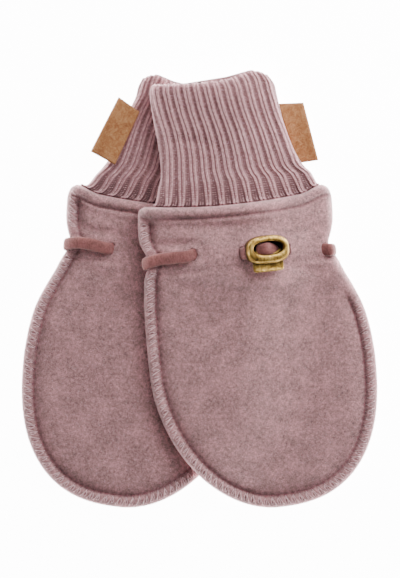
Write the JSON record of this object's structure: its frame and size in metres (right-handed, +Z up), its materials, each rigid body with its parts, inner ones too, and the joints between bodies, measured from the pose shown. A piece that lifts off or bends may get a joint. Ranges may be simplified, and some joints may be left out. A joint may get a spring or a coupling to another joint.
{
  "type": "pair of baby mittens",
  "caption": "Pair of thumbless baby mittens laid flat, one over the other, with ribbed cuffs, wrist drawstrings, folded label tabs and a cord lock.",
  "frame": {"origin": "middle of the pair's footprint, on the surface it lies on", "axes": "+Z up from that surface, +Y towards the cuffs, so the fingertips point along -Y, and +X towards the mitten that lies on top"},
  "size_m": [0.1322, 0.1615, 0.0224],
  "materials": {
    "fleece": "matt brushed wool fleece, mottled dusty rose",
    "rib_knit": "matt rib knit, dusty rose",
    "label": "matt mottled leather-like paper, bare",
    "cord": "matt flat knitted cord, clay rose",
    "brass": "polished cast, lightly worn"
  },
  "bodies": {
    "root": {"lower_back_panel": "fleece", "lower_front_panel": "fleece", "lower_cuff": "rib_knit", "lower_label": "label", "lower_cord": "cord", "upper_front_panel": "fleece", "upper_back_panel": "fleece", "upper_cuff": "rib_knit", "upper_label": "label", "upper_cord": "cord", "lock_housing": "brass", "lock_plunger": "brass"}
  },
  "joints": []
}
